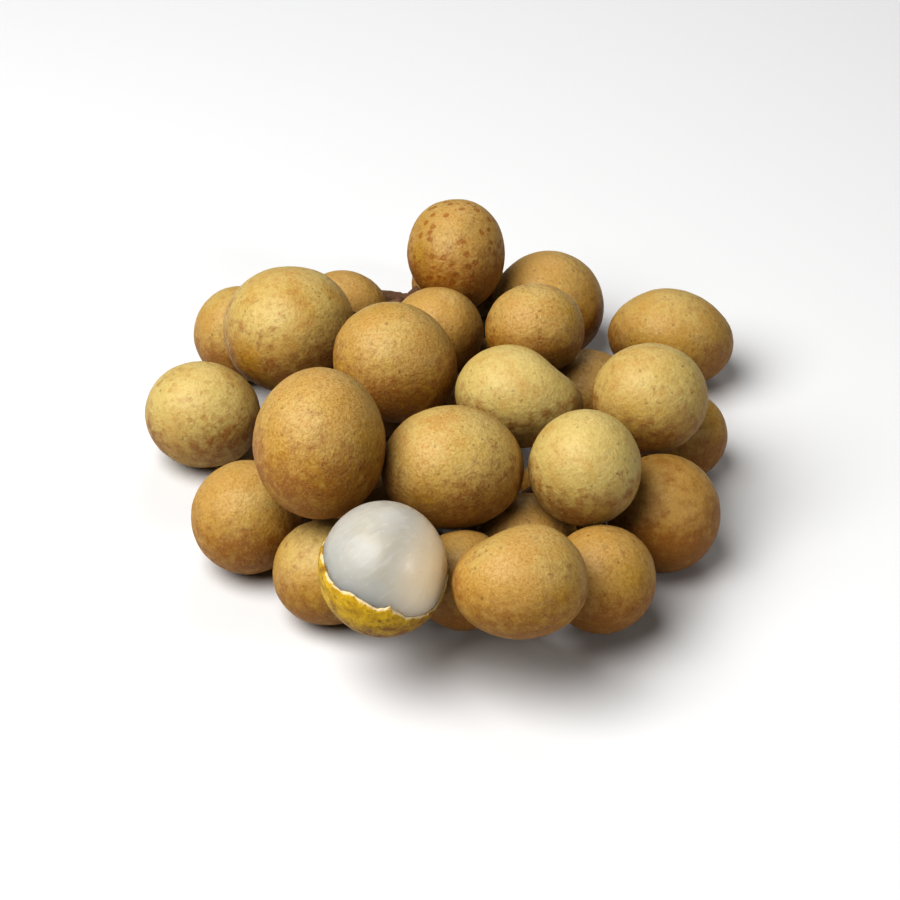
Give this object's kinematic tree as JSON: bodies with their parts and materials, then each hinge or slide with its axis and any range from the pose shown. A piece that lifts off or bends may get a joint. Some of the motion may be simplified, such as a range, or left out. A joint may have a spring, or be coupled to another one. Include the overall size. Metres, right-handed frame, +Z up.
{
  "type": "longan bunch",
  "caption": "Bunch of ripe longans: round tan fruit crowded on a branched woody stalk, lying down, one half peeled to its white flesh.",
  "frame": {"origin": "centre of the bunch's footprint, on the surface that it lies on", "axes": "+Z up, -Y towards the side with the peeled fruit, +Y towards the cut end of the stalk"},
  "size_m": [0.137, 0.1608, 0.0539],
  "materials": {
    "skin": "matte, finely pebbled",
    "husk": "torn, yellow, pale at the torn edge",
    "flesh": "wet, translucent white",
    "stalk": "rough brown bark"
  },
  "bodies": {
    "root": {"fruit_01": "skin", "fruit_02": "skin", "fruit_03": "skin", "fruit_04": "skin", "fruit_05": "skin", "fruit_06": "skin", "fruit_07": "skin", "fruit_08": "skin", "fruit_09": "skin", "fruit_10": "skin", "fruit_11": "skin", "fruit_12": "skin", "fruit_13": "skin", "fruit_14": "skin", "fruit_15": "skin", "fruit_16": "skin", "fruit_17": "skin", "fruit_18": "skin", "fruit_19": "skin", "fruit_20": "skin", "fruit_21": "skin", "fruit_22": "skin", "fruit_23": "skin", "fruit_24": "skin", "fruit_25": "skin", "fruit_26": "skin", "fruit_27": "skin", "fruit_28": "skin", "fruit_29": "skin", "fruit_30": "skin", "fruit_31": "skin", "fruit_32": "skin", "fruit_33": "skin", "peeled_husk": "husk", "peeled_flesh": "flesh", "stalk": "stalk"}
  },
  "joints": []
}
